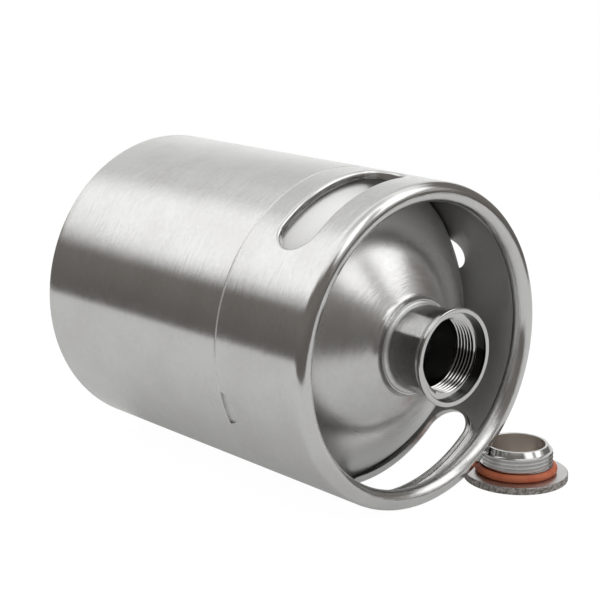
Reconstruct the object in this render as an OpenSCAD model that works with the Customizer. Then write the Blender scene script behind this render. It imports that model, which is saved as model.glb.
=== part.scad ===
// Stainless steel mini keg for cold brew coffee, lying on its side with its
// screw cap standing on the floor beside it. Millimetres, +Z up, +X along the
// keg's axis towards the mouth. The keg itself is modelled standing on its
// base and is then laid down.

/* [Body] */
// Outer diameter of the body
body_d = 162; // [130:0.5:220]
// Height of the body, from the base to the seam under the handle ring
body_h = 143.6; // [100:0.2:300]
// Thickness of the body sheet
body_t = 1; // [0.6:0.1:1.6]
// Width of the flat ring that the keg stands on
foot_w = 13; // [9:0.5:20]
// Depth of the hollow pressed into the bottom
dish_h = 7; // [3:0.5:14]
// Outer radius of the base's edge
base_edge_r = 2; // [1.6:0.1:3]
// Height of the bottom head's upturned wall
bottom_wall_h = 5; // [4:0.2:9]

/* [Top head] */
// Thickness of the top head's sheet
head_t = 1; // [0.6:0.1:1.6]
// Height of the dome, from where its knuckle starts to the collar
dome_h = 45.4; // [36:0.2:54]
// Radius of the dome's crown
crown_r = 125; // [100:1:200]
// Radius of the knuckle between the dome and its wall
knuckle_r = 6; // [4:0.5:12]
// Height of the knuckle's start above the seam
knuckle_lift = 6.3; // [1:0.1:8]
// Height of the collar's straight wall, above its fillet
collar_wall_h = 0.5; // [0.3:0.1:5]
// Radius of the fillet at the collar's foot
collar_fillet_r = 4; // [2.5:0.1:4.5]

/* [Handle ring] */
// Height of the ring, from the seam to the top of its rolled rim
ring_h = 61.1; // [56:0.1:72]
// Thickness of the ring's sheet
ring_t = 1; // [0.6:0.1:1.6]
// Outer diameter of the rolled rim's section
rim_d = 10; // [7:0.1:12]
// How far the rim is rolled round, in degrees
rim_turn = 300; // [200:5:315]
// Height of the middle of the hand slots above the seam
slot_lift = 28.4; // [26:0.1:31]
// Width of a hand slot
slot_w = 24; // [18:0.2:26]
// Length of a hand slot, measured round the ring
slot_len = 80.6; // [50:0.2:110]
// How deep the slot's edge is turned in
slot_lip = 4; // [2:0.1:4.4]
// Turn of the first slot from the top of the lying keg, in degrees
slot_turn = 20; // [-90:1:90]
// Width of the drain notches over the seam
drain_w = 18.4; // [10:0.2:30]
// Height of the drain notch on the near side above the seam
drain_near_h = 9.2; // [9.2:0.2:20]
// Height of the drain notch on the far side above the seam
drain_far_h = 15.4; // [9.2:0.2:20]

/* [Neck] */
// Length of the neck, from the collar's top to the mouth
neck_h = 25.1; // [22.6:0.1:40]
// Wall of the neck outside its thread
neck_wall = 2.6; // [1.8:0.05:4]
// Width of the shoulder that the collar is welded to
neck_step = 1; // [1:0.05:3]
// Depth of the neck's spigot below the collar's top
spigot_h = 9; // [7:0.2:14]
// Height of the mouth's flange
mouth_h = 1.6; // [1:0.1:3]
// Width of the mouth's rim outside the seal recess
mouth_lip = 2.6; // [1.6:0.1:3.4]
// Depth of the seal recess in the mouth
recess_h = 3.4; // [2:0.1:4]

/* [Thread] */
// Major diameter of the neck's thread
thread_d = 38; // [34:0.1:42]
// Pitch of the thread
pitch = 2; // [1.6:0.05:2.4]
// Turns of thread in the neck
neck_turns = 6; // [4:1:7]
// Turns of thread on the cap
cap_turns = 4; // [2:1:4]
// Play between the cap's thread and the neck's
thread_play = 0.08; // [0.05:0.01:0.15]

/* [Cap] */
// Thickness of the cap's disc
disc_t = 3.8; // [2.5:0.1:6]
// How far the disc reaches past the mouth's flange
disc_reach = 2.85; // [1:0.05:6]
// Height of the chamfered nose above the cap's thread
nose_h = 2.9; // [1.6:0.1:5]
// Wall left at the top of the nose
nose_wall = 1.4; // [0.8:0.1:2.4]
// Diameter of the hollow in the cap
hollow_d = 29.6; // [20:0.2:30]
// Thickness of the seal ring
seal_t = 4; // [3:0.1:4.4]
// How far ahead of the rim the cap stands
cap_ahead = 1.5; // [0:0.1:40]
// Gap between the cap's nose and the side of the keg
cap_gap = 0.3; // [0.3:0.1:30]

/* [Hidden] */
$fn = 144;

weld_w = 1.2;             // width of the seam and bottom welds
seam_sink = 0.2;          // how far the polished seam lies below the sheet
lap_play = 0.05;          // play where one sheet slides inside another
lap_h = 10;               // lap of the top head inside the body
cut = 3;                  // overrun of a cut past the face it opens
edge_r = 0.5;             // softened edge of a turned part
dish_r = 4;               // bend radii of the bottom's hollow
dish_slope = 9;           // width of the hollow's sloping side
arc_n = 9;                // points on a bend
crown_n = 18;             // points on the dome's crown
rim_n = 36;               // points on the rolled rim
slot_n = 16;              // points on a slot's round end

// keg, in its own standing frame: [radius, height] points
body_r = body_d/2;
nest_r = body_r - max(body_t, ring_t) - lap_play;
seam_z = body_h;
ring_top = seam_z + ring_h;
rim_r = rim_d/2;

// turned thread: flats of a sixth of the pitch at crest and root
flat_share = 1/6;
flank_lean = 30;
thread_r = thread_d/2;
crest_w = pitch*flat_share;
flank_w = pitch/2 - crest_w;
core_r = thread_r - flank_w/tan(flank_lean);

// seal ring, its seat on the cap and its recess in the mouth
seat_relief = 0.6;
seat_r = core_r - seat_relief;
seal_play = 0.1;
seal_in_r = seat_r + seal_play;
seal_out_r = seal_in_r + seal_t;
recess_r = seal_out_r + seal_play;

// neck and collar
tube_r = thread_r + neck_wall;
mouth_r = recess_r + mouth_lip;
spigot_r = tube_r + neck_step;
collar_r = spigot_r + lap_play + head_t;
relief_r = thread_r + thread_play + lap_play;
knuckle_z = seam_z + knuckle_lift;
foot_z = knuckle_z + dome_h;

// crown of the dome: an arc that runs on from the knuckle and reaches the
// collar's wall at foot_z
knuckle_c = [nest_r - knuckle_r, knuckle_z];
slant = [collar_r, foot_z] - knuckle_c;
swing_r = crown_r - knuckle_r;
along = (swing_r^2 - crown_r^2 + slant*slant)/(2*norm(slant));
crown_c = knuckle_c + along*unit(slant) + sqrt(swing_r^2 - along^2)*left(unit(slant));
knuckle_end = angle_of(knuckle_c - crown_c);
fillet_x = collar_r + collar_fillet_r;
fillet_z = crown_c[1] + sqrt((crown_r + collar_fillet_r)^2 - (fillet_x - crown_c[0])^2);
fillet_c = [fillet_x, fillet_z];
crown_end = angle_of(fillet_c - crown_c);
collar_z = fillet_z + collar_wall_h;
mouth_z = collar_z + neck_h;

// grooves of the neck's thread, measured down from the mouth's face
function turn_depth(i) = recess_h + crest_w + flank_w + i*pitch;
thread_end = turn_depth(neck_turns - 1) + pitch/2 + crest_w;

// cap, standing on its disc: its ridges meet the neck's grooves once the seal
// ring touches the recess's floor
disc_r = mouth_r + disc_reach;
function ridge_z(i) = disc_t + seal_t + seal_play + crest_w + flank_w + i*pitch;
cap_thread_top = ridge_z(cap_turns - 1) + pitch/2;
cap_h = cap_thread_top + nose_h;
hollow_r = hollow_d/2;
nose_r = hollow_r + nose_wall;

// where the cap stands: its nose clears the side of the lying keg
flank_y = sqrt(2*body_r*cap_h - cap_h^2);
nose_back = sqrt(max(0, nose_r^2 - (cap_ahead + rim_r)^2));
cap_x = ring_top + cap_ahead;
cap_y = flank_y + nose_back + cap_gap;

// the row's origin is the middle of the footprint, on the floor
mid_x = max(mouth_z, cap_x + disc_r)/2;
mid_y = (max(body_r, cap_y + disc_r) - body_r)/2;

steel = [0.74, 0.74, 0.73];
steel_bright = [0.83, 0.83, 0.82];
silicone = [0.80, 0.33, 0.18];

function unit(v) = v/norm(v);
function left(v) = [-v[1], v[0]];
function flat(p) = [p[0], p[1]];
function angle_of(v) = atan2(v[1], v[0]);

// All but the first of a list of points, for an arc that runs on from another
function on_from(points) = [for (i = [1:len(points) - 1]) points[i]];

// Points on an arc about c, from angle a0 to a1
function arc(c, r, a0, a1, n) =
    [for (i = [0:n]) let (a = a0 + (a1 - a0)*i/n) c + r*[cos(a), sin(a)]];

// A line through corners [radius, height, bend], each bent to its own radius
function bent(c, n = arc_n) = [
    for (i = [0:len(c) - 1])
        each (i == 0 || i == len(c) - 1 || c[i][2] == 0)
            ? [flat(c[i])]
            : bend(flat(c[i]), flat(c[i - 1]), flat(c[i + 1]), c[i][2], n)
];
function bend(p, before, after, r, n) =
    let (
        u = unit(before - p),
        v = unit(after - p),
        half = acos(u*v)/2,
        c = p + unit(u + v)*r/sin(half),
        from = p + u*r/tan(half) - c,
        to = p + v*r/tan(half) - c,
        a = angle_of(from),
        turn = (angle_of(to) - a + 540)%360 - 180
    ) arc(c, r, a, a + turn, n);

// The line moved sideways by t, to its left
function beside(path, t) = [
    for (i = [0:len(path) - 1])
        let (
            a = left(unit(i == 0 ? path[1] - path[0] : path[i] - path[i - 1])),
            b = left(unit(i == len(path) - 1 ? path[i] - path[i - 1] : path[i + 1] - path[i])),
            m = unit(a + b)
        ) path[i] + m*t/(m*a)
];

// The section of a sheet whose outer face follows the line
function sheet(path, t) =
    let (inner = beside(path, t))
    concat(path, [for (i = [len(path) - 1:-1:0]) inner[i]]);

// One groove or ridge of a turned thread at height z, from base radius b to tip radius t
function tooth(z, b, t, w, dir) = [
    [b, z - dir*(w/2 + flank_w)],
    [t, z - dir*w/2],
    [t, z + dir*w/2],
    [b, z + dir*(w/2 + flank_w)]
];

// Lays the standing keg on its side, mouth towards +X
module laid()
    translate([-mid_x, -mid_y, body_r])
        rotate([0, 90, 0])
            rotate([0, 0, 180])
                children();

// Stands the cap on the floor beside the keg
module beside_keg()
    translate([cap_x - mid_x, cap_y - mid_y, 0])
        children();

module turned(outline)
    rotate_extrude()
        polygon(outline);

// A ring of rectangular section
module band(r_in, r_out, z_low, z_high)
    turned([[r_in, z_low], [r_out, z_low], [r_out, z_high], [r_in, z_high]]);

bottom_top = bottom_wall_h;
shell_low = bottom_top + weld_w;
shell_high = seam_z - weld_w/2;
ring_low = seam_z + weld_w/2;

module body_shell() {
    color(steel)
        laid()
            band(body_r - body_t, body_r, shell_low, shell_high);
}

foot_r = body_r - foot_w;

module bottom_head() {
    color(steel)
        laid()
            turned(sheet(bent([
                [0, dish_h, 0],
                [foot_r - dish_slope, dish_h, dish_r],
                [foot_r, 0, dish_r],
                [body_r, 0, base_edge_r],
                [body_r, bottom_top, 0]
            ]), body_t));
}

module bottom_weld() {
    color(steel_bright)
        laid()
            band(body_r - body_t, body_r, bottom_top, shell_low);
}

dome_line = concat(
    [[nest_r, seam_z - lap_h]],
    arc(knuckle_c, knuckle_r, 0, knuckle_end, arc_n),
    on_from(arc(crown_c, crown_r, knuckle_end, crown_end, crown_n)),
    on_from(arc(fillet_c, collar_fillet_r, crown_end + 180, 180, arc_n)),
    [[collar_r, collar_z]]
);

module top_head() {
    color(steel)
        laid()
            turned(sheet(dome_line, head_t));
}

module seam_weld() {
    color(steel_bright)
        laid()
            band(nest_r, body_r - seam_sink, shell_high, ring_low);
}

rim_c = [body_r - rim_r, ring_top - rim_r];
ring_line = concat([[body_r, ring_low]], arc(rim_c, rim_r, 0, rim_turn, rim_n));

slot_half = slot_len/2/body_r*180/PI;
slot_reach = body_r*sin(slot_half) - slot_w/2;
slot_z = seam_z + slot_lift;
lip_r = body_r - slot_lip;

// Cuts radially through the ring. The outline is [round the ring, height]
module through(outline, low)
    translate([low, 0, 0])
        rotate([90, 0, 90])
            linear_extrude(body_r + cut - low)
                polygon(outline);

// A long hole with round ends, grown all round by grow
module slot_block(grow)
    through(concat(
        arc([slot_reach, slot_z], slot_w/2 + grow, -90, 90, slot_n),
        arc([-slot_reach, slot_z], slot_w/2 + grow, 90, 270, slot_n)
    ), lip_r*cos(slot_half) - cut);

// The slot's edge, turned in towards the dome
module slot_rim()
    intersection() {
        slot_block(ring_t);
        band(lip_r, body_r - ring_t/2, ring_low, ring_top);
    }

// A half-moon notch in the ring's lower edge, h high
module drain(h) {
    r = drain_w/2;
    middle = seam_z + h - r;
    foot = min(seam_z, middle) - cut;
    through(concat([[r, foot]], arc([0, middle], r, 0, 180, slot_n), [[-r, foot]]), nest_r - cut);
}

module handle_ring() {
    color(steel)
        laid()
            difference() {
                union() {
                    turned(sheet(ring_line, ring_t));
                    for (a = [slot_turn, slot_turn + 180])
                        rotate([0, 0, a])
                            slot_rim();
                }
                for (a = [slot_turn, slot_turn + 180])
                    rotate([0, 0, a])
                        slot_block(0);
                rotate([0, 0, slot_turn + 90])
                    drain(drain_near_h);
                rotate([0, 0, slot_turn - 90])
                    drain(drain_far_h);
            }
}

flare_w = mouth_r - tube_r;
mouth_low = mouth_z - mouth_h;

module neck_fitting() {
    color(steel_bright)
        laid()
            turned(concat(
                bent([
                    [relief_r, collar_z - spigot_h, 0],
                    [spigot_r, collar_z - spigot_h, edge_r],
                    [spigot_r, collar_z, 0],
                    [tube_r, collar_z, 0],
                    [tube_r, mouth_low - flare_w, 2*flare_w],
                    [mouth_r, mouth_low, edge_r/2],
                    [mouth_r, mouth_z, edge_r],
                    [recess_r, mouth_z, edge_r],
                    [recess_r, mouth_z - recess_h, 0]
                ], 5),
                [[core_r, mouth_z - recess_h]],
                [for (i = [0:neck_turns - 1])
                    each tooth(mouth_z - turn_depth(i), core_r, thread_r, crest_w, -1)],
                [
                    [core_r, mouth_z - thread_end],
                    [relief_r, mouth_z - thread_end - (relief_r - core_r)]
                ]
            ));
}

bead_r = spigot_r - tube_r + head_t/2;

module neck_weld() {
    color(steel_bright)
        laid()
            turned(concat([[tube_r, collar_z]], arc([tube_r, collar_z], bead_r, 0, 90, arc_n)));
}

tip_r = thread_r - thread_play;
root_r = core_r - thread_play;

module screw_cap() {
    color(steel_bright)
        beside_keg()
            turned(concat(
                bent([
                    [0, 0, 0],
                    [disc_r, 0, edge_r],
                    [disc_r, disc_t, edge_r],
                    [seat_r, disc_t, 0]
                ], 4),
                [[seat_r, ridge_z(0) - crest_w/2 - flank_w]],
                [for (i = [0:cap_turns - 1])
                    each tooth(ridge_z(i), root_r, tip_r, crest_w - 2*thread_play, 1)],
                [
                    [root_r, cap_thread_top],
                    [nose_r, cap_h],
                    [hollow_r, cap_h],
                    [hollow_r, disc_t],
                    [0, disc_t]
                ]
            ));
}

module cap_seal() {
    color(silicone)
        beside_keg()
            translate([0, 0, disc_t + seal_play/2 + seal_t/2])
                rotate_extrude()
                    translate([seal_in_r + seal_t/2, 0])
                        circle(d = seal_t);
}

body_shell();
bottom_head();
bottom_weld();
top_head();
seam_weld();
handle_ring();
neck_fitting();
neck_weld();
screw_cap();
cap_seal();
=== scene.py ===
"""A small stainless steel keg lying on its side, with its screw cap standing beside the mouth.

Every piece is modelled in millimetres, standing on the keg's own axis as the keg would stand on
its base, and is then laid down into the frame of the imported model, in metres. A section is a list
of points (radius, height) that is turned about the axis.
"""

import math

import bmesh
import bpy
from mathutils import Matrix, Vector


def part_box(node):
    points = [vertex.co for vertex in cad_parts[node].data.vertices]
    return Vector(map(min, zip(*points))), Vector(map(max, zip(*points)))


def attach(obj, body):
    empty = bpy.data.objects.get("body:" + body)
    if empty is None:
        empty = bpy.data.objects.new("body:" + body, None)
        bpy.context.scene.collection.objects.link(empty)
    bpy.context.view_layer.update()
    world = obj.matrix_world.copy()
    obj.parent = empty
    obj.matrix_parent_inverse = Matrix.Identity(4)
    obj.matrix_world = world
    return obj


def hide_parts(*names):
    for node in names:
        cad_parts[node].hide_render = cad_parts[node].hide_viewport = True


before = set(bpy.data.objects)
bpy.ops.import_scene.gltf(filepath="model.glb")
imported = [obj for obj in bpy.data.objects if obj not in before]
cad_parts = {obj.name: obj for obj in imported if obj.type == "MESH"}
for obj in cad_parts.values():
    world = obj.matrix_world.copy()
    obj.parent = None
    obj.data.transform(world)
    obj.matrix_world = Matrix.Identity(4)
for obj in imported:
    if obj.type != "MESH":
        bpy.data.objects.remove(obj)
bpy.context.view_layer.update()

MM = 0.001

# Camera: its place in millimetres, the way it looks, and its lens
CAMERA_PLACE = Vector((606.96, -548.98, 295.05))
CAMERA_AIM = Vector((-0.72441, 0.64418, -0.24550))
CAMERA_LENS = 97.15
SENSOR = 36.0

# Body and heads
BODY_R = 81.0
SHEET = 1.0
BASE_EDGE_R = 2.0
FOOT_R = 68.0
DISH_H = 7.0
DISH_R = 4.0
DISH_SLOPE = 9.0
BASE_TOP = 5.0
WELD_W = 1.2
SEAM_Z = 143.6
SEAM_SINK = 0.08
LAP_H = 10.0
NEST_R = 79.95
SOFT_EDGE = 0.3
NEAR = 0.01             # what counts as on a line, and the step between neighbouring faces

# Top head
KNUCKLE_R = 6.0
KNUCKLE_Z = 149.9
CROWN_R = 125.0
FOOT_Z = 195.3
COLLAR_R = 23.65
COLLAR_Z = 198.511
COLLAR_FILLET = 4.0

# Handle ring
RIM_R = 5.0
RIM_Z = 199.7
RIM_TURN = 300
SLOT_Z = 172.0
SLOT_W = 24.0
SLOT_LEN = 80.6
SLOT_LIP = 4.0
SLOT_BEND = 1.6
SLOT_TURN = 20.0
DRAIN_W = 18.4
DRAIN_NEAR_H = 9.2
DRAIN_FAR_H = 15.4

# Neck
MOUTH_Z = 223.611
MOUTH_H = 1.6
MOUTH_R = 24.0453
TUBE_R = 21.6
SPIGOT_R = 22.6
SPIGOT_Z = 189.5
RELIEF_R = 19.13
RECESS_R = 21.4453
RECESS_H = 3.4
EDGE_R = 0.5
THREAD_R = 19.0
CORE_R = 17.8453
PITCH = 2.0
CREST_W = 0.3333
NUDGE = 0.004           # keeps a thread's corners off the planes that cut it
THREAD_END = 15.7333
THREAD_REACH = 1.0      # how far either side of a thread its border is looked for

# Cap
DISC_R = 26.8953
DISC_T = 3.8
SEAT_R = 17.2453
CAP_THREAD_LOW = 8.0667
CAP_THREAD_TOP = 15.9
FIRST_RIDGE = 8.9
CAP_H = 18.8
TIP_R = 18.92
ROOT_R = 17.7653
RIDGE_TRIM = 0.16       # the ridge's crest is this much narrower than the floor of the neck's groove
NOSE_R = 16.2
NOSE_BEND = 0.2
NOSE_GAP = 0.2
NOSE_INSET = 0.1
HOLLOW_R = 14.8
HOLLOW_BEND = 0.3
HOLLOW_FOOT_BEND = 0.5
SEAL_T = 4.0
SEAL_R = 19.3453
SEAL_Z = 5.85

# Modelling: steps round a full turn and round a bend, the distance under which two points are one, and
# the angle up to which a face runs smoothly into the next
TURN_STEPS = 256
BEND_STEPS = 6
MERGE = 0.002
SMOOTH_ANGLE = 35

# Lays the standing keg on its side, its mouth towards +X, and stands the cap beside it
shell_low, shell_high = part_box("body_shell")
base_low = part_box("bottom_head")[0]
cap_low, cap_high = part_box("screw_cap")
AXIS_Y = (shell_low.y + shell_high.y)/2
AXIS_Z = (shell_low.z + shell_high.z)/2
SHRINK = Matrix.Scale(MM, 4)
LAID = Matrix.Translation((base_low.x, AXIS_Y, AXIS_Z)) @ Matrix((
    (0, 0, 1, 0),
    (0, -1, 0, 0),
    (1, 0, 0, 0),
    (0, 0, 0, 1))) @ SHRINK
CAP_PLACE = Vector(((cap_low.x + cap_high.x)/2, (cap_low.y + cap_high.y)/2, 0))
BESIDE = Matrix.Translation(CAP_PLACE) @ SHRINK


# Camera

def make_camera():
    data = bpy.data.cameras.new("photo_camera")
    data.lens = CAMERA_LENS
    data.sensor_width = SENSOR
    data.clip_start = 0.01
    camera = bpy.data.objects.new("photo_camera", data)
    camera.location = CAMERA_PLACE*MM
    camera.rotation_euler = CAMERA_AIM.to_track_quat("-Z", "Y").to_euler()
    bpy.context.scene.collection.objects.link(camera)
    bpy.context.scene.camera = camera
    bpy.context.scene.view_settings.view_transform = "Standard"


# Sections

def arc(centre, radius, start, end, steps=BEND_STEPS):
    """Points on a circle's arc between two angles in degrees"""
    angles = [math.radians(start + (end - start)*i/steps) for i in range(steps + 1)]
    return [(centre[0] + radius*math.cos(a), centre[1] + radius*math.sin(a)) for a in angles]


def rounded(corners):
    """A line through corners (radius, height, bend), each bent to its own radius"""
    points = []
    for i, (r, h, bend) in enumerate(corners):
        here = Vector((r, h))
        if not bend:
            points.append((r, h))
            continue
        back = (Vector(corners[i - 1][:2]) - here).normalized()
        on = (Vector(corners[(i + 1) % len(corners)][:2]) - here).normalized()
        half = back.angle(on)/2
        centre = here + (back + on).normalized()*bend/math.sin(half)
        first = here + back*bend/math.tan(half) - centre
        last = here + on*bend/math.tan(half) - centre
        start = math.degrees(math.atan2(first.y, first.x))
        turn = (math.degrees(math.atan2(last.y, last.x)) - start + 540) % 360 - 180
        points += arc(centre, bend, start, start + turn)
    return points


def beside(line, gap):
    """The line moved sideways by gap, to its left"""
    moved = []
    for i, point in enumerate(line):
        here = Vector(point)
        back = (here - Vector(line[i - 1])).normalized() if i else None
        on = (Vector(line[i + 1]) - here).normalized() if i < len(line) - 1 else back
        back = back or on
        left_back = Vector((-back.y, back.x))
        left_on = Vector((-on.y, on.x))
        middle = (left_back + left_on).normalized()
        moved.append(tuple(here + middle*gap/middle.dot(left_back)))
    return moved


def sheet(line, thickness=SHEET):
    """The section of a sheet whose outer face follows the line"""
    return line + beside(line, thickness)[::-1]


# Modelling

def deselect():
    if bpy.context.object and bpy.context.object.mode != "OBJECT":
        bpy.ops.object.mode_set(mode="OBJECT")
    bpy.ops.object.select_all(action="DESELECT")


def edit(piece):
    """Opens a piece alone in edit mode, with nothing selected"""
    deselect()
    piece.select_set(True)
    bpy.context.view_layer.objects.active = piece
    bpy.ops.object.mode_set(mode="EDIT")
    bpy.ops.mesh.select_mode(type="VERT")
    bpy.ops.mesh.select_all(action="DESELECT")


def pick(piece, test):
    """Selects, in edit mode, the points whose place passes the test"""
    mesh = bmesh.from_edit_mesh(piece.data)
    for point in mesh.verts:
        point.select = test(point.co)
    mesh.select_flush_mode()
    bmesh.update_edit_mesh(piece.data)


def pick_edges(piece, test):
    """Selects, in edit mode, the edges that pass the test"""
    bpy.ops.mesh.select_mode(type="EDGE")
    mesh = bmesh.from_edit_mesh(piece.data)
    for edge in mesh.edges:
        edge.select = test(edge)
    mesh.select_flush_mode()
    bmesh.update_edit_mesh(piece.data)


def add_point(name, place):
    """A new piece of one point, left open in edit mode"""
    deselect()
    bpy.ops.mesh.primitive_plane_add(size=1)
    piece = bpy.context.object
    piece.name = piece.data.name = name
    edit(piece)
    bpy.ops.mesh.select_all(action="SELECT")
    bpy.ops.mesh.merge(type="CENTER")
    bpy.ops.transform.translate(value=place)
    return piece


def draw(points):
    """Draws on from the selected point through the others"""
    for (r, h), (next_r, next_h) in zip(points, points[1:]):
        bpy.ops.mesh.extrude_region_move(
            TRANSFORM_OT_translate={"value": (next_r - r, 0, next_h - h)})


def turned(name, section, closed=True):
    """A section turned about the axis"""
    points = section + section[:1] if closed else section
    piece = add_point(name, (points[0][0], 0, points[0][1]))
    draw(points)
    bpy.ops.mesh.select_all(action="SELECT")
    bpy.ops.mesh.spin(steps=TURN_STEPS, angle=2*math.pi, center=(0, 0, 0), axis=(0, 0, 1))
    bpy.ops.mesh.select_all(action="SELECT")
    bpy.ops.mesh.remove_doubles(threshold=MERGE)
    bpy.ops.mesh.normals_make_consistent(inside=False)
    bpy.ops.object.mode_set(mode="OBJECT")
    return piece


def apply_modifier(piece, kind, **settings):
    deselect()
    piece.select_set(True)
    bpy.context.view_layer.objects.active = piece
    modifier = piece.modifiers.new(kind.lower(), kind)
    for name, value in settings.items():
        setattr(modifier, name, value)
    bpy.ops.object.modifier_apply(modifier=modifier.name)


def join(pieces):
    deselect()
    for piece in pieces:
        piece.select_set(True)
    bpy.context.view_layer.objects.active = pieces[0]
    bpy.ops.object.join()
    return pieces[0]


def place(piece, matrix, node, body, slot, material, smooth=SMOOTH_ANGLE):
    """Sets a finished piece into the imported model's frame, in place of its CAD node"""
    deselect()
    piece.select_set(True)
    bpy.context.view_layer.objects.active = piece
    piece.matrix_world = matrix
    bpy.ops.object.transform_apply(location=True, rotation=True, scale=True)
    bpy.ops.object.shade_smooth_by_angle(angle=math.radians(smooth))
    piece.data.materials.clear()
    piece.data.materials.append(material)
    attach(piece, body)
    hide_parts(node)


# Shader maths

class Wire:
    """An output socket in a shader, on which sums add their Math nodes"""

    def __init__(self, tree, socket):
        self.tree = tree
        self.socket = socket

    def maths(self, operation, *values):
        return node(self.tree, "Math", {"operation": operation}, dict(enumerate(values)))

    def __add__(self, other):
        return self.maths("ADD", self, other)

    def __sub__(self, other):
        return self.maths("SUBTRACT", self, other)

    def __rsub__(self, other):
        return self.maths("SUBTRACT", other, self)

    def __mul__(self, other):
        return self.maths("MULTIPLY", self, other)

    def __truediv__(self, other):
        return self.maths("DIVIDE", self, other)

    __radd__ = __add__
    __rmul__ = __mul__


def node(tree, kind, settings, inputs, output=0):
    """A shader node: its settings are set first, then its sockets, and one output comes back"""
    made = tree.nodes.new("ShaderNode" + kind)
    for name, value in settings.items():
        setattr(made, name, value)
    for name, value in inputs.items():
        if isinstance(value, Wire):
            tree.links.new(value.socket, made.inputs[name])
        else:
            made.inputs[name].default_value = value
    return Wire(tree, made.outputs[output])


def smooth_step(value, low, high, start=0.0, end=1.0):
    return node(value.tree, "MapRange", {"interpolation_type": "SMOOTHSTEP"}, {
        "Value": value, "From Min": low, "From Max": high, "To Min": start, "To Max": end})


def grey_mix(tree, factor, dark, light):
    return node(tree, "Mix", {"data_type": "RGBA"}, {"Factor": factor, 6: dark, 7: light}, 2)


def new_material(name):
    material = bpy.data.materials.new(name)
    material.use_nodes = True
    tree = material.node_tree
    tree.nodes.clear()
    return material, tree


def finish_material(tree, shader):
    out = tree.nodes.new("ShaderNodeOutputMaterial")
    tree.links.new(shader.socket, out.inputs["Surface"])


RING_FINENESS = 2600.0
RING_LENGTH = 3.0       # how often the rings' pattern changes on the way round
RING_SLANT = 0.7        # moves the rings on with the radius, so flat faces have them too
PATCH_SCALE = 38.0
CLOUD_SCALE = 420.0
PATCH_HEIGHT = 0.12
BUMP_H = 0.00006


def steel(name, middle, dark, light, roughness, spread, brushing, upright=False, detail=None):
    """Stainless steel: fine rings round the axis, soft patches, and roughness that follows both"""
    material, tree = new_material(name)
    where = node(tree, "TexCoord", {}, {}, "Object")
    centred = node(tree, "VectorMath", {"operation": "SUBTRACT"}, {0: where, 1: middle})
    parts = tree.nodes.new("ShaderNodeSeparateXYZ")
    tree.links.new(centred.socket, parts.inputs[0])
    along, side, rise = (Wire(tree, socket) for socket in parts.outputs)
    if upright:
        along, side, rise = rise, along, side
    radius = (side*side).maths("SQRT", side*side + rise*rise)
    rings = node(tree, "CombineXYZ", {}, {
        0: (along + radius*RING_SLANT)*RING_FINENESS,
        1: side/radius*RING_LENGTH,
        2: rise/radius*RING_LENGTH})
    grain = node(tree, "TexNoise", {}, {"Vector": rings, "Scale": 1.0, "Detail": 3.0, "Roughness": 0.6})
    patches = node(tree, "TexNoise", {}, {"Vector": where, "Scale": PATCH_SCALE, "Detail": 3.0})
    cloud = node(tree, "TexNoise", {}, {"Vector": where, "Scale": CLOUD_SCALE, "Detail": 2.0})
    shade = grain*0.25 + patches*0.5 + cloud*0.25
    colour = grey_mix(tree, smooth_step(shade, 0.35, 0.65), dark, light)
    rough = roughness + (patches - 0.5)*spread + (grain - 0.5)*spread
    height = grain*brushing + patches*PATCH_HEIGHT
    if detail:
        colour, rough, height = detail(tree, where, along, radius, colour, rough, height)
    bumps = node(tree, "Bump", {}, {"Strength": 1.0, "Distance": BUMP_H, "Height": height})
    shader = node(tree, "BsdfPrincipled", {}, {
        "Base Color": colour, "Metallic": 1.0, "Roughness": rough, "Normal": bumps})
    finish_material(tree, shader)
    return material


EDGE_ROUGHNESS = 0.22   # what the dome's dull edge adds to the steel's roughness
EDGE_START, EDGE_FULL = 42*MM, 72*MM


def soft_edge(tree, where, along, radius, colour, rough, height):
    """The dome is duller and paler towards its edge"""
    outer = smooth_step(radius, EDGE_START, EDGE_FULL)
    return grey_mix(tree, outer*0.5, colour, BRIGHT_STEEL), rough + outer*EDGE_ROUGHNESS, height


BROWNISH = (0.74, 0.70, 0.66, 1)
STAIN = (0.20, 0.18, 0.165, 1)
WORN = (0.58, 0.55, 0.52, 1)
DULL = 0.24
PITTED_ROUGHNESS = 0.32
PIT_DEPTH = 4.0


def worn_cap(tree, where, along, radius, colour, rough, height):
    """The cap's disc is dull, its edge pitted and stained, and its hollow brownish and rough"""
    disc = smooth_step(along, (DISC_T + 0.2)*MM, (DISC_T + 0.05)*MM)
    hollow = smooth_step(radius, (HOLLOW_R + 0.2)*MM, (HOLLOW_R + 0.05)*MM)
    colour = grey_mix(tree, hollow, colour, BROWNISH)
    rough = rough + disc.maths("MAXIMUM", disc*DULL, hollow*DULL)
    edge = smooth_step(radius, (DISC_R - EDGE_R - 0.2)*MM, (DISC_R - 0.1)*MM)
    pits = node(tree, "TexNoise", {}, {"Vector": where, "Scale": 700.0, "Detail": 4.0, "Roughness": 0.7})
    stain = grey_mix(tree, smooth_step(pits, 0.35, 0.65), STAIN, WORN)
    rough = rough + edge*PITTED_ROUGHNESS
    return grey_mix(tree, edge, colour, stain), rough, height + edge*pits*PIT_DEPTH


# Near-black painted shade, put on the recess wall in the neck's mouth
PAINTED_SHADE = (0.03, 0.03, 0.03, 1)


def painted_recess_shade(tree, where, along, radius, colour, rough, height):
    """The wall of the seal's recess is painted near-black, a painted shade for the dark it reflects"""
    wall = smooth_step(radius, (RECESS_R - 0.25)*MM, (RECESS_R - 0.05)*MM)
    wall = wall*smooth_step(radius, (RECESS_R + 0.3)*MM, (RECESS_R + 0.15)*MM)
    wall = wall*smooth_step(along, NECK_FLOOR - 0.2*MM, NECK_FLOOR + 0.1*MM)
    return grey_mix(tree, wall, colour, PAINTED_SHADE), rough, height


ORANGE = (0.52, 0.115, 0.05, 1)
PALE_ORANGE = (0.62, 0.175, 0.08, 1)


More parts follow.
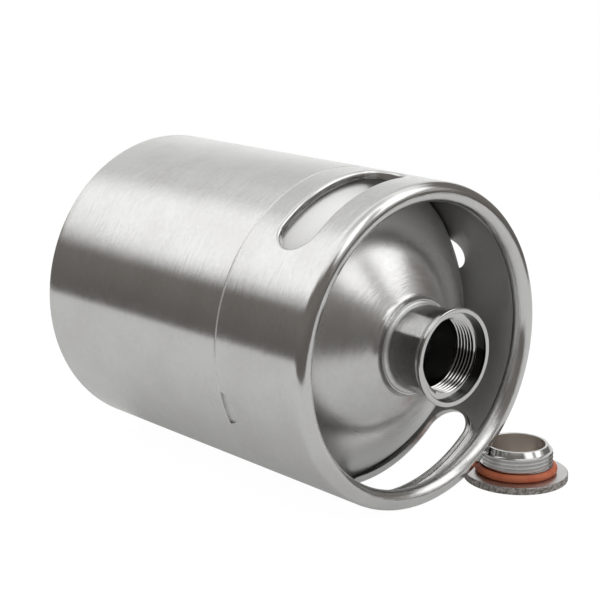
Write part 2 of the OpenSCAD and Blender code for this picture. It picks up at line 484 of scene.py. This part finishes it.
def silicone():
    material, tree = new_material("orange_silicone")
    where = node(tree, "TexCoord", {}, {}, "Object")
    dust = node(tree, "TexNoise", {}, {"Vector": where, "Scale": 900.0, "Detail": 4.0})
    tone = node(tree, "TexNoise", {}, {"Vector": where, "Scale": 90.0, "Detail": 2.0})
    colour = grey_mix(tree, smooth_step(tone, 0.3, 0.7), ORANGE, PALE_ORANGE)
    bumps = node(tree, "Bump", {}, {"Strength": 0.3, "Distance": 0.00005, "Height": dust})
    shader = node(tree, "BsdfPrincipled", {}, {
        "Base Color": colour, "Roughness": 0.5 + dust*0.15, "Normal": bumps})
    finish_material(tree, shader)
    return material


make_camera()

KEG_AXIS = (0.0, AXIS_Y, AXIS_Z)
DARK_STEEL = (0.60, 0.595, 0.585, 1)
LIGHT_STEEL = (0.66, 0.66, 0.65, 1)
BRIGHT_STEEL = (0.80, 0.80, 0.80, 1)
brushed_steel = steel("brushed_steel", KEG_AXIS, DARK_STEEL, LIGHT_STEEL, 0.13, 0.05, 1.4)
satin_steel = steel("satin_steel", KEG_AXIS, DARK_STEEL, LIGHT_STEEL, 0.24, 0.06, 1.8, detail=soft_edge)
# The weld steel is paler than the sheet: partly the weld's own tone, partly a painted highlight that
# brightens the seam line
weld_highlight_steel = steel("weld_highlight_steel", KEG_AXIS, LIGHT_STEEL, BRIGHT_STEEL, 0.45, 0.10, 0.3)
NECK_FLOOR = base_low.x + (MOUTH_Z - RECESS_H)*MM
# The neck's steel carries painted shade on the wall of its seal recess
turned_steel = steel("turned_steel", KEG_AXIS, DARK_STEEL, LIGHT_STEEL, 0.10, 0.04, 0.5, detail=painted_recess_shade)
cap_steel = steel("cap_steel", tuple(CAP_PLACE), DARK_STEEL, LIGHT_STEEL, 0.10, 0.04, 0.12, True, worn_cap)
orange_silicone = silicone()

# Body, heads and welds
low, high = BASE_TOP + WELD_W, SEAM_Z - WELD_W/2
shell = turned("body_sheet", rounded([
    (BODY_R - SHEET, low, 0), (BODY_R, low, 0), (BODY_R, high, SOFT_EDGE), (BODY_R - SHEET, high, 0)]))
place(shell, LAID, "body_shell", "keg", "brushed_sheet", brushed_steel)

base = turned("base_pan", sheet(rounded([
    (0, DISH_H, 0),
    (FOOT_R - DISH_SLOPE, DISH_H, DISH_R),
    (FOOT_R, 0, DISH_R),
    (BODY_R, 0, BASE_EDGE_R),
    (BODY_R, BASE_TOP, 0)])))
place(base, LAID, "bottom_head", "keg", "brushed_sheet", brushed_steel)

base_weld = turned("base_seam", [
    (BODY_R - SHEET, BASE_TOP), (BODY_R - NEAR, BASE_TOP), (BODY_R - NEAR, low), (BODY_R - SHEET, low)])
place(base_weld, LAID, "bottom_weld", "keg", "weld_metal", brushed_steel)

seam = turned("body_seam", [
    (NEST_R, high), (BODY_R - SEAM_SINK, high), (BODY_R - NEAR, SEAM_Z), (BODY_R - SEAM_SINK, high + WELD_W),
    (NEST_R, high + WELD_W)])
place(seam, LAID, "seam_weld", "keg", "weld_metal", weld_highlight_steel)

# Dome with its collar: the crown's arc touches the knuckle's, and the fillet's touches the crown's
KNUCKLE_STEPS = 8
CROWN_STEPS = 32
FILLET_STEPS = 10
knuckle_c = Vector((NEST_R - KNUCKLE_R, KNUCKLE_Z))
slant = Vector((COLLAR_R, FOOT_Z)) - knuckle_c
swing_r = CROWN_R - KNUCKLE_R
along = (swing_r**2 - CROWN_R**2 + slant.length_squared)/(2*slant.length)
across = math.sqrt(swing_r**2 - along**2)
crown_c = knuckle_c + slant.normalized()*along + Vector((-slant.y, slant.x)).normalized()*across
fillet_x = COLLAR_R + COLLAR_FILLET
fillet_rise = math.sqrt((CROWN_R + COLLAR_FILLET)**2 - (fillet_x - crown_c.x)**2)
fillet_c = Vector((fillet_x, crown_c.y + fillet_rise))


def degrees_to(here, there):
    return math.degrees(math.atan2(there.y - here.y, there.x - here.x))


knuckle_end = degrees_to(crown_c, knuckle_c)
crown_end = degrees_to(crown_c, fillet_c)
dome_line = (
    [(NEST_R, SEAM_Z - LAP_H)]
    + arc(knuckle_c, KNUCKLE_R, 0, knuckle_end, KNUCKLE_STEPS)
    + arc(crown_c, CROWN_R, knuckle_end, crown_end, CROWN_STEPS)[1:]
    + arc(fillet_c, COLLAR_FILLET, crown_end + 180, 180, FILLET_STEPS)[1:]
    + [(COLLAR_R, COLLAR_Z)])
dome = turned("domed_head", sheet(dome_line))
place(dome, LAID, "top_head", "keg", "satin_sheet", satin_steel)

# Handle ring: four flat quarters, each with its opening, are bent round and joined
QUARTER = math.pi*BODY_R/2
JOIN_GAP = 3.0
JOIN_REACH = 1.4        # degrees either side of a join in which its borders lie
RING_LOW = SEAM_Z + WELD_W/2
REACH = (QUARTER - JOIN_GAP)/2
SIDE_STEPS = 3

# Rings of points round each opening, by radius, out to the last round one
SLOT_RINGS = [14.5, 16, 18.5, 22.0]
SLOT_STEPS = 60
SLOT_STEPS_OUT = 3
SLOT_STEPS_ALONG = 19
DRAIN_RINGS = [10.5, 12.5, 15, 18.0]
DRAIN_STEPS = 128
DRAIN_STEPS_OUT = 9


def flat_rings(name, steps, turn, rings):
    """A flat plate of rings (radius, depth) round one opening"""
    deselect()
    bpy.ops.mesh.primitive_circle_add(vertices=steps, radius=rings[0][0])
    piece = bpy.context.object
    piece.name = piece.data.name = name
    piece.rotation_euler = (math.pi/2, math.radians(turn), 0)
    bpy.ops.object.transform_apply(location=False, rotation=True, scale=False)
    edit(piece)
    bpy.ops.mesh.select_all(action="SELECT")
    bpy.ops.transform.translate(value=(0, rings[0][1], 0))
    for (r, depth), (next_r, next_depth) in zip(rings, rings[1:]):
        bpy.ops.mesh.extrude_region()
        grow = next_r/r
        bpy.ops.transform.resize(value=(grow, 1, grow), center_override=(0, 0, 0))
        bpy.ops.transform.translate(value=(0, next_depth - depth, 0))
    return piece


def flatten(piece, test, axis, level):
    """Presses the points that pass the test onto one level of an axis"""
    pick(piece, test)
    size, centre = [1, 1, 1], [0, 0, 0]
    size[axis], centre[axis] = 0, level
    bpy.ops.transform.resize(value=size, center_override=centre)


def square_off(piece, inner, up, down):
    """Presses the outermost ring onto a plate's square border"""
    def outside(p):
        return math.hypot(p.x, p.z) > inner + NEAR
    flatten(piece, lambda p: outside(p) and p.z > abs(p.x) - NEAR, 2, up)
    flatten(piece, lambda p: outside(p) and -p.z > abs(p.x) - NEAR, 2, -down)
    for side in (-1, 1):
        flatten(piece, lambda p: p.x*side > up - NEAR, 0, side*up)


def fill_steps(piece, inner, cuts):
    """Adds even steps between the last round ring and the square border"""
    def crosses(edge):
        a, b = (math.hypot(end.co.x, end.co.z) for end in edge.verts)
        return min(a, b) < inner + NEAR < max(a, b)
    pick_edges(piece, crosses)
    bpy.ops.mesh.subdivide(number_cuts=cuts)
    bpy.ops.mesh.select_mode(type="VERT")


def widen(piece, reach, steps):
    """Draws both side borders of a plate out to its full width"""
    side = max(point.co.x for point in bmesh.from_edit_mesh(piece.data).verts)
    for sign in (-1, 1):
        pick(piece, lambda p: p.x*sign > side - NEAR)
        for _ in range(steps):
            bpy.ops.mesh.extrude_region_move(
                TRANSFORM_OT_translate={"value": (sign*(reach - side)/steps, 0, 0)})


def finish_plate(piece, quarter, z):
    """Moves a plate to its quarter of the flat ring and its height"""
    bpy.ops.mesh.select_all(action="SELECT")
    bpy.ops.transform.translate(value=(quarter*QUARTER, 0, z))
    bpy.ops.object.mode_set(mode="OBJECT")
    return piece


def slot_plate(name, quarter):
    """A quarter of the ring with a hand slot, its edge bent in: a round opening is drawn out sideways"""
    up, down = RIM_Z - SLOT_Z, SLOT_Z - RING_LOW
    half = SLOT_W/2
    bend = [(r, -d) for r, d in arc((half + SLOT_BEND, -SLOT_BEND), SLOT_BEND, 180, 90)]
    flat = [(r, 0) for r in SLOT_RINGS]
    rings = [(half, SLOT_LIP)] + bend + flat + [(up*math.sqrt(2), 0)]
    piece = flat_rings(name, SLOT_STEPS, 180/SLOT_STEPS, rings)
    square_off(piece, SLOT_RINGS[-1], up, down)
    fill_steps(piece, SLOT_RINGS[-1], SLOT_STEPS_OUT)
    apart = SLOT_LEN/2 - half
    for sign in (-1, 1):
        pick(piece, lambda p: p.x*sign > 0)
        bpy.ops.transform.translate(value=(sign*apart, 0, 0))
    pick_edges(piece, lambda edge: edge.verts[0].co.x*edge.verts[1].co.x < 0)
    bpy.ops.mesh.subdivide(number_cuts=SLOT_STEPS_ALONG)
    bpy.ops.mesh.select_mode(type="VERT")
    widen(piece, REACH, SIDE_STEPS)
    return finish_plate(piece, quarter, SLOT_Z)


def drain_plate(name, quarter, height):
    """A quarter of the ring with a half-moon drain in its lower edge"""
    middle = SEAM_Z + height - DRAIN_W/2
    up = RIM_Z - middle
    rings = [(r, 0) for r in [DRAIN_W/2] + DRAIN_RINGS + [up*math.sqrt(2)]]
    piece = flat_rings(name, DRAIN_STEPS, 0, rings)
    pick(piece, lambda p: p.z < -NEAR)
    bpy.ops.mesh.delete(type="VERT")
    square_off(piece, DRAIN_RINGS[-1], up, up)
    fill_steps(piece, DRAIN_RINGS[-1], DRAIN_STEPS_OUT)
    pick(piece, lambda p: p.z < NEAR)
    bpy.ops.mesh.extrude_region_move(TRANSFORM_OT_translate={"value": (0, 0, RING_LOW - middle - 1)})
    bpy.ops.mesh.select_all(action="SELECT")
    bpy.ops.mesh.bisect(plane_co=(0, 0, RING_LOW - middle), plane_no=(0, 0, 1), clear_inner=True)
    widen(piece, REACH, SIDE_STEPS)
    return finish_plate(piece, quarter, middle)


def handle_ring():
    """The four plates bent into one wall, with the rim rolled inwards and the sheet given its thickness"""
    ring = join([
        slot_plate("handle_ring_sheet", -1.5),
        drain_plate("far_drain", -0.5, DRAIN_FAR_H),
        slot_plate("upper_slot", 0.5),
        drain_plate("near_drain", 1.5, DRAIN_NEAR_H)])
    apply_modifier(ring, "SIMPLE_DEFORM", deform_method="BEND", deform_axis="Z",
                   angle=(4*QUARTER - JOIN_GAP)/BODY_R)
    edit(ring)
    bpy.ops.mesh.select_all(action="SELECT")
    bpy.ops.transform.translate(value=(0, -BODY_R, 0))
    for quarter in range(4):
        across = Matrix.Rotation(quarter*math.pi/2, 3, "Z")

        def at_join(p):
            turned_p = across @ p
            return abs(math.atan2(turned_p.y, turned_p.x)) < math.radians(JOIN_REACH)
        pick(ring, at_join)
        bpy.ops.mesh.bridge_edge_loops()
    pick(ring, lambda p: p.z > RIM_Z - NEAR)
    roll = arc((BODY_R - RIM_R, 0), RIM_R, 0, RIM_TURN, RIM_TURN//10)
    for (r, h), (next_r, next_h) in zip(roll, roll[1:]):
        bpy.ops.mesh.extrude_region()
        bpy.ops.transform.resize(value=(next_r/r, next_r/r, 1), center_override=(0, 0, 0))
        bpy.ops.transform.translate(value=(0, 0, next_h - h))
    bpy.ops.mesh.select_all(action="SELECT")
    bpy.ops.mesh.remove_doubles(threshold=MERGE)
    bpy.ops.mesh.normals_make_consistent(inside=False)
    bpy.ops.object.mode_set(mode="OBJECT")
    apply_modifier(ring, "SOLIDIFY", thickness=SHEET, offset=-1, use_even_offset=True)
    turn = Matrix.Rotation(math.radians(SLOT_TURN + 45), 4, "Z")
    place(ring, LAID @ turn, "handle_ring", "keg", "brushed_sheet", brushed_steel)


handle_ring()


# Threads

def thread_tube(name, base_r, tip_r, crest, low, high, first):
    """A right-hand thread's surface between two heights, with a crest at height first"""
    flank = PITCH/2 - CREST_W
    start = first - PITCH*math.ceil((first - low)/PITCH + 1.5)
    turns = math.ceil((high - start)/PITCH) + 1
    crest_low = start + (PITCH - crest)/2
    crest_high = start + (PITCH + crest)/2
    section = [
        (base_r, start), (base_r, crest_low - flank), (tip_r, crest_low),
        (tip_r, crest_high), (base_r, crest_high + flank), (base_r, start + PITCH)]
    piece = add_point(name, (base_r, 0, start))
    draw(section)
    bpy.ops.object.mode_set(mode="OBJECT")
    apply_modifier(piece, "SCREW", angle=2*math.pi, screw_offset=PITCH, iterations=turns, axis="Z",
                   steps=TURN_STEPS, render_steps=TURN_STEPS, use_merge_vertices=False)
    edit(piece)
    bpy.ops.mesh.select_all(action="SELECT")
    bpy.ops.mesh.remove_doubles(threshold=MERGE)
    bpy.ops.mesh.select_all(action="SELECT")
    bpy.ops.mesh.bisect(plane_co=(0, 0, low), plane_no=(0, 0, 1), clear_inner=True)
    bpy.ops.mesh.select_all(action="SELECT")
    bpy.ops.mesh.bisect(plane_co=(0, 0, high), plane_no=(0, 0, 1), clear_outer=True)
    bpy.ops.object.mode_set(mode="OBJECT")
    return piece


def bridge(piece, *loops):
    """Joins the two open borders that lie at the places (height, least radius, largest radius)"""
    def in_reach(end):
        r = math.hypot(end.co.x, end.co.y)
        return any(abs(end.co.z - h) < NEAR and least < r < most for h, least, most in loops)

    def on_border(edge):
        return edge.is_boundary and all(in_reach(end) for end in edge.verts)
    edit(piece)
    pick_edges(piece, on_border)
    bpy.ops.mesh.bridge_edge_loops()
    bpy.ops.mesh.select_mode(type="VERT")
    bpy.ops.object.mode_set(mode="OBJECT")


def face_outwards(piece):
    edit(piece)
    bpy.ops.mesh.select_all(action="SELECT")
    bpy.ops.mesh.normals_make_consistent(inside=False)
    bpy.ops.object.mode_set(mode="OBJECT")


def neck():
    """The turned neck: its tube flares out to the mouth, and its thread is bridged in from both ends"""
    flare = MOUTH_R - TUBE_R
    mouth_low = MOUTH_Z - MOUTH_H
    thread_high = MOUTH_Z - RECESS_H
    thread_low = MOUTH_Z - THREAD_END
    relief_z = thread_low - (RELIEF_R - CORE_R)
    body = turned("neck_body", [(RELIEF_R, relief_z), (RELIEF_R, SPIGOT_Z)] + rounded([
        (RELIEF_R, SPIGOT_Z, 0),
        (SPIGOT_R, SPIGOT_Z, EDGE_R),
        (SPIGOT_R, COLLAR_Z, 0),
        (TUBE_R, COLLAR_Z, 0),
        (TUBE_R, mouth_low - flare, 2*flare),
        (MOUTH_R, mouth_low, EDGE_R/2),
        (MOUTH_R, MOUTH_Z, EDGE_R),
        (RECESS_R, MOUTH_Z, EDGE_R),
        (RECESS_R, thread_high, 0)])[1:], closed=False)
    first_groove = thread_high - PITCH/2 - NUDGE
    thread = thread_tube(
        "neck_thread", CORE_R, THREAD_R, CREST_W, thread_low, thread_high, first_groove)
    piece = join([body, thread])
    piece.name = piece.data.name = "threaded_neck"
    inner, outer = CORE_R - THREAD_REACH, THREAD_R + THREAD_REACH
    bridge(piece, (thread_high, inner, RECESS_R + THREAD_REACH))
    bridge(piece, (thread_low, inner, outer), (relief_z, RELIEF_R - NEAR, RELIEF_R + NEAR))
    face_outwards(piece)
    place(piece, LAID, "neck_fitting", "keg", "turned_steel", turned_steel)


neck()

BEAD_STEPS = 10
bead = SPIGOT_R - TUBE_R + SHEET/2
weld = turned("neck_bead", [(TUBE_R, COLLAR_Z)] + arc((TUBE_R, COLLAR_Z), bead, 0, 90, BEAD_STEPS))
place(weld, LAID, "neck_weld", "keg", "weld_metal", weld_highlight_steel)


def cap():
    """The screw cap: disc and seat, the nose round its hollow, and the thread between the two"""
    body = turned("cap_body", rounded([
        (0, 0, 0),
        (DISC_R, 0, EDGE_R),
        (DISC_R, DISC_T, EDGE_R),
        (SEAT_R, DISC_T, 0),
        (SEAT_R, CAP_THREAD_LOW, 0)]), closed=False)
    nose_low = CAP_THREAD_TOP + NOSE_GAP
    nose = turned("cap_nose", rounded([
        (ROOT_R - NOSE_INSET, nose_low, 0),
        (NOSE_R, CAP_H, NOSE_BEND),
        (HOLLOW_R, CAP_H, HOLLOW_BEND),
        (HOLLOW_R, DISC_T, HOLLOW_FOOT_BEND),
        (0, DISC_T, 0)]), closed=False)
    thread = thread_tube(
        "cap_thread", ROOT_R, TIP_R, CREST_W - RIDGE_TRIM,
        CAP_THREAD_LOW, CAP_THREAD_TOP, FIRST_RIDGE + NUDGE)
    piece = join([body, nose, thread])
    piece.name = piece.data.name = "cap_plug"
    inner, outer = ROOT_R - THREAD_REACH, TIP_R + THREAD_REACH
    bridge(piece, (CAP_THREAD_LOW, SEAT_R - THREAD_REACH, outer))
    bridge(piece, (CAP_THREAD_TOP, inner, outer), (nose_low, inner, ROOT_R))
    face_outwards(piece)
    place(piece, BESIDE, "screw_cap", "cap", "cap_steel", cap_steel)


cap()

# Seal ring
SEAL_STEPS = 192
SEAL_STEPS_ROUND = 32
SMOOTH_ALL = 180
deselect()
bpy.ops.mesh.primitive_torus_add(
    major_radius=SEAL_R, minor_radius=SEAL_T/2, major_segments=SEAL_STEPS,
    minor_segments=SEAL_STEPS_ROUND, location=(0, 0, SEAL_Z))
seal = bpy.context.object
seal.name = seal.data.name = "seal_ring"
bpy.ops.object.transform_apply(location=True)
place(seal, BESIDE, "cap_seal", "seal", "silicone", orange_silicone, SMOOTH_ALL)

# Floor and studio: the table in metres, its length along the way the camera looks
TABLE_W = 1.3
TABLE_BEHIND = 0.75
TABLE_AHEAD = 0.36
TABLE_Z = -0.0002
CAMERA_TURN = -42.0
WHITE = (1, 1, 1, 1)
TABLE_COLOUR = (0.8, 0.8, 0.8, 1)
TABLE_GLOW = 0.7
TABLE_GLOW_SEEN = 0.36
SEEN_SHARE = 0.92
MIRRORED_SHARE = 0.4


def add_floor():
    """A pale table that ends a little in front of the keg, white to the camera apart from its shadows"""
    deselect()
    bpy.ops.mesh.primitive_plane_add(size=1)
    floor = bpy.context.object
    floor.name = "studio_floor"
    bpy.ops.transform.resize(value=(TABLE_BEHIND + TABLE_AHEAD, TABLE_W, 1))
    bpy.ops.transform.translate(value=((TABLE_AHEAD - TABLE_BEHIND)/2, 0, TABLE_Z))
    floor.data.transform(Matrix.Rotation(math.radians(CAMERA_TURN), 4, "Z") @ floor.matrix_basis)
    floor.matrix_basis = Matrix()
    material, tree = new_material("pale_floor")
    ray = tree.nodes.new("ShaderNodeLightPath")
    seen = Wire(tree, ray.outputs["Is Camera Ray"])
    glossy = Wire(tree, ray.outputs["Is Glossy Ray"])
    passed = Wire(tree, ray.outputs["Is Transmission Ray"])
    mirrored = glossy.maths("MAXIMUM", glossy, passed)
    pale = node(tree, "BsdfDiffuse", {}, {"Color": TABLE_COLOUR})
    white = node(tree, "Emission", {}, {"Color": WHITE, "Strength": TABLE_GLOW + seen*TABLE_GLOW_SEEN})
    share = seen*SEEN_SHARE + mirrored*MIRRORED_SHARE
    glow = node(tree, "MixShader", {}, {0: share, 1: pale, 2: white})
    finish_material(tree, glow)
    floor.data.materials.append(material)


def cos_of(degrees):
    return math.cos(math.radians(degrees))


def sin_of(degrees):
    return math.sin(math.radians(degrees))


def toward(elevation, azimuth):
    """The direction at an elevation and an azimuth, in degrees"""
    return (cos_of(elevation)*cos_of(azimuth), cos_of(elevation)*sin_of(azimuth), sin_of(elevation))


DIM_ROOM = 0.155
HORIZON_GLOW = 0.05
LEFT_GLOW = 1.36
RIGHT_GLOW = 1.7
GAP_DEPTH = 0.75
SIDE_GLOW = 0.55
ZENITH_DIP = 0.35
BACK_DIP = 0.22
WARM_WHITE = (1, 0.94, 0.88, 1)


def add_world():
    """Soft white panels on both sides, overhead and behind the keg, and a dim room in front of it"""
    world = bpy.data.worlds.new("studio")
    world.use_nodes = True
    bpy.context.scene.world = world
    tree = world.node_tree
    tree.nodes.clear()
    way = node(tree, "TexCoord", {}, {}, "Generated")
    level_way = node(tree, "VectorMath", {"operation": "MULTIPLY"}, {0: way, 1: (1, 1, 0)})
    flat_way = node(tree, "VectorMath", {"operation": "NORMALIZE"}, {0: level_way})

    def cosine(here, elevation, azimuth):
        return node(tree, "VectorMath", {"operation": "DOT_PRODUCT"}, {
            0: here, 1: toward(elevation, azimuth)}, "Value")

    def near(elevation, azimuth, core, edge):
        """1 within core degrees of a direction, falling to 0 at edge degrees"""
        return smooth_step(cosine(way, elevation, azimuth), cos_of(edge), cos_of(core))

    def beside_of(azimuth, core, edge):
        """The same, but round the horizon alone"""
        return smooth_step(cosine(flat_way, 0, azimuth), cos_of(edge), cos_of(core))

    def above(low, high):
        """0 below the lower elevation, rising to 1 at the higher one"""
        return smooth_step(up, sin_of(low), sin_of(high))

    up = cosine(way, 90, 0)
    left_panel = near(52, -150, 26, 41)
    right_panel = near(47, 24, 25, 36)
    gap = beside_of(19, 3, 8)*(1 - above(58, 66))
    overhead = above(38, 54)
    zenith = above(64, 80)
    back = beside_of(150, 31, 37)*(1 - above(46, 60))
    side_glow = beside_of(32, 18, 34)*above(-8, 18)
    level = DIM_ROOM + above(-6, 14)*HORIZON_GLOW + overhead
    level = level.maths("MAXIMUM", level, left_panel*LEFT_GLOW)
    level = level.maths("MAXIMUM", level, right_panel*(1 - gap*GAP_DEPTH)*RIGHT_GLOW)
    level = level.maths("MAXIMUM", level, side_glow*SIDE_GLOW)
    level = level*(1 - zenith*ZENITH_DIP)
    level = level*(1 - back) + back*(1.0 - above(12, 30)*BACK_DIP)
    seen = Wire(tree, tree.nodes.new("ShaderNodeLightPath").outputs["Is Camera Ray"])
    strength = seen + (1 - seen)*level
    tint = grey_mix(tree, smooth_step(strength, 0.2, 0.7), WARM_WHITE, WHITE)
    background = node(tree, "Background", {}, {"Color": tint, "Strength": strength})
    out = tree.nodes.new("ShaderNodeOutputWorld")
    tree.links.new(background.socket, out.inputs["Surface"])


add_floor()
add_world()
